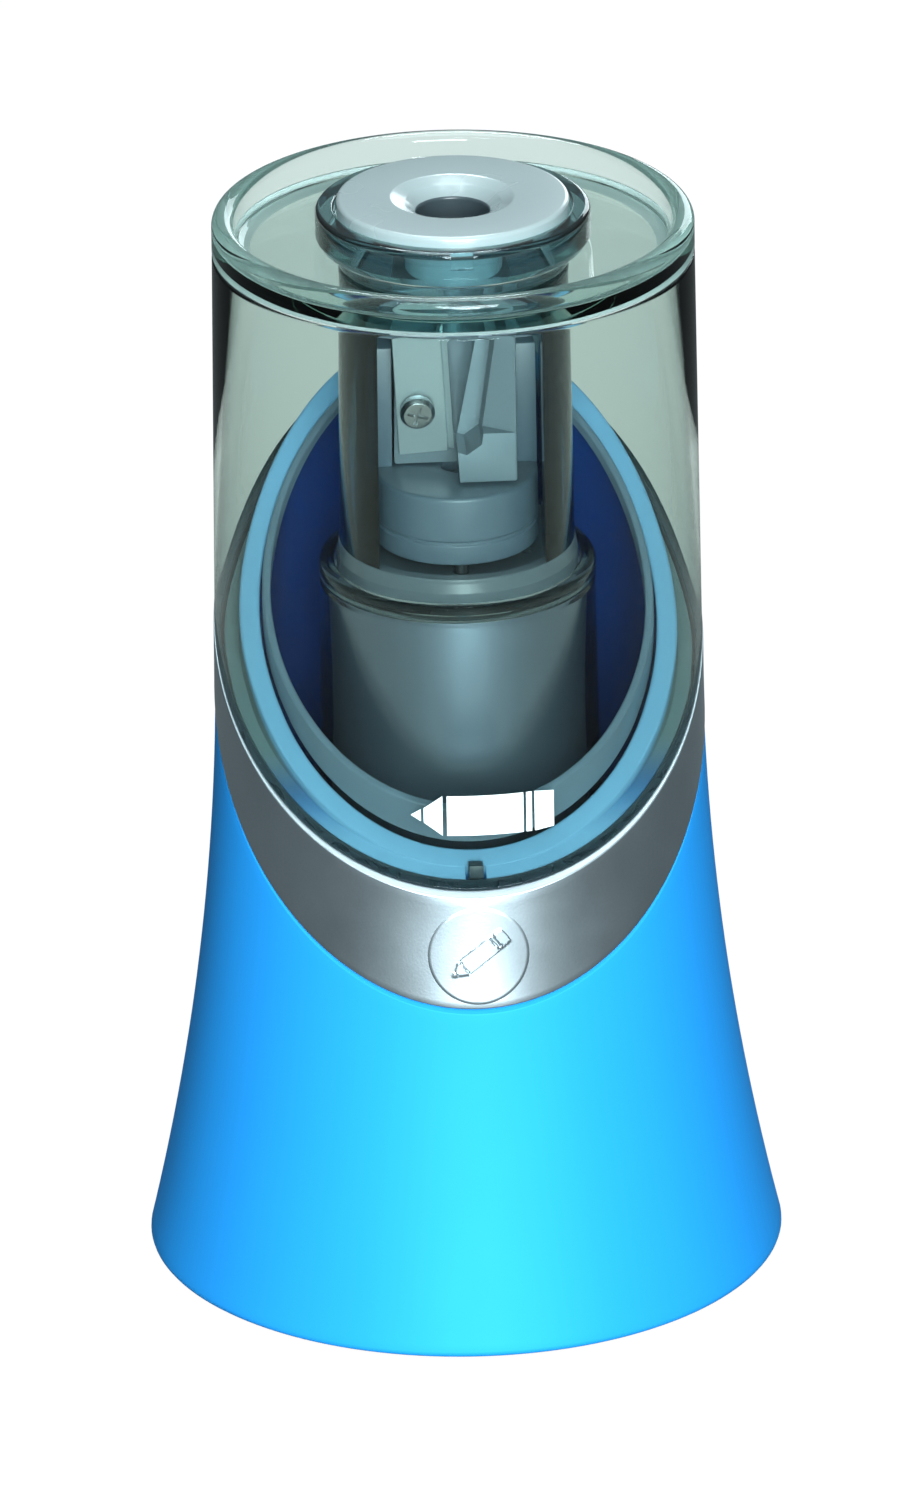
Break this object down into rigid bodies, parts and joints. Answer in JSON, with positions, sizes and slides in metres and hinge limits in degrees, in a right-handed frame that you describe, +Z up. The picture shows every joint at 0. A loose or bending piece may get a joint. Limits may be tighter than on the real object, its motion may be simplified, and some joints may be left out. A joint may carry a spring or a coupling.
{
  "type": "pencil sharpener",
  "caption": "Upright electric pencil sharpener: flared base, oblique trim band, clear lift-off cover with the pencil mouth in its lid and a spinning prism cutter in a clear tower.",
  "frame": {"origin": "centre of the resting plane under the feet", "axes": "+Z up along the round body, -Y towards the front with the low side of the oblique band"},
  "size_m": [0.0796, 0.0796, 0.1403],
  "materials": {
    "blue_shell": "satin",
    "bowl_blue": "gloss",
    "satin_silver": "satin",
    "smoke_cover": "clear",
    "smoke_liner": "translucent",
    "smoke_tower": "clear",
    "grey_housing": "translucent",
    "cap_grey": "satin",
    "carrier_grey": "satin",
    "cast_alloy": "brushed",
    "steel": "bright",
    "brass": "bright",
    "nylon": "natural",
    "black_plastic": "matte",
    "lead_red": "matte",
    "board": "matte",
    "foot_rubber": "matte"
  },
  "bodies": {
    "base": {"base_shell": "blue_shell", "trim_band": "satin_silver", "shavings_bowl": "bowl_blue", "shavings_liner": "smoke_liner", "bottom_plate": "black_plastic", "bottom_screw_1": "steel", "bottom_screw_2": "steel", "bottom_screw_3": "steel", "bottom_screw_4": "steel", "rubber_foot_1": "foot_rubber", "rubber_foot_2": "foot_rubber", "rubber_foot_3": "foot_rubber", "rubber_foot_4": "foot_rubber", "dc_jack": "black_plastic", "circuit_board": "board", "board_capacitor": "black_plastic", "motor_housing": "grey_housing", "housing_screw_1": "steel", "housing_screw_2": "steel", "housing_screw_3": "steel", "gear_plate": "black_plastic", "motor_can": "steel", "motor_end_cap": "black_plastic", "motor_terminal_1": "brass", "motor_terminal_2": "brass", "motor_screw_1": "steel", "motor_screw_2": "steel", "idler_pin": "steel", "output_bush": "brass", "lead_red": "lead_red", "lead_black": "black_plastic", "start_switch": "black_plastic", "interlock_switch": "black_plastic", "interlock_lever": "brass", "interlock_spring": "steel", "return_spring": "steel", "tower": "smoke_tower"},
    "cover": {"cover_cylinder": "smoke_cover", "cover_lid": "smoke_cover", "top_collar": "smoke_cover", "cap_plate": "cap_grey"},
    "thrust": {"thrust_collar": "black_plastic"},
    "cutter": {"cutter_carrier": "carrier_grey", "sharpener_body": "cast_alloy", "sharpener_blade": "steel", "blade_screw": "steel"},
    "output": {"output_gear": "nylon", "drive_shaft": "steel"},
    "idler": {"idler_gear": "nylon"},
    "rotor": {"motor_rotor": "steel", "motor_pinion": "brass"},
    "start_button": {"start_button": "cap_grey"},
    "interlock": {"interlock_plunger": "black_plastic"}
  },
  "joints": [
    {"name": "cover_lift", "type": "slide", "parent": "base", "child": "cover", "axis": [0, 0, 1], "range_m": [0, 0.078]},
    {"name": "cutter_press", "type": "slide", "parent": "base", "child": "thrust", "axis": [0, 0, -1], "range_m": [0, 0.0012], "stiffness_N_per_m": 400, "springref_m": -0.003, "deforming": ["return_spring"]},
    {"name": "cutter_spin", "type": "hinge", "parent": "thrust", "child": "cutter", "pos_m": [0, 0, 0.105], "axis": [0, 0, 1], "continuous": true},
    {"name": "output_spin", "type": "hinge", "parent": "base", "child": "output", "pos_m": [0, 0, 0.09], "axis": [0, 0, 1], "continuous": true},
    {"name": "idler_spin", "type": "hinge", "parent": "base", "child": "idler", "pos_m": [0, 0.00825, 0.087], "axis": [0, 0, 1], "continuous": true},
    {"name": "motor_spin", "type": "hinge", "parent": "base", "child": "rotor", "pos_m": [0, 0, 0.084], "axis": [0, 0, 1], "continuous": true},
    {"name": "start_button_travel", "type": "slide", "parent": "base", "child": "start_button", "axis": [0, 0, -1], "range_m": [0, 0.0012]},
    {"name": "interlock_press", "type": "slide", "parent": "base", "child": "interlock", "axis": [0, 0, -1], "range_m": [0, 0.0015], "stiffness_N_per_m": 300, "springref_m": -0.002, "deforming": ["interlock_spring"]}
  ],
  "couplings": [
    {"joint": "output_spin", "follows": "cutter_spin", "ratio": 1},
    {"joint": "idler_spin", "follows": "cutter_spin", "ratio": -2.3},
    {"joint": "motor_spin", "follows": "cutter_spin", "ratio": 5.29},
    {"joint": "start_button_travel", "follows": "cutter_press", "ratio": 1}
  ]
}
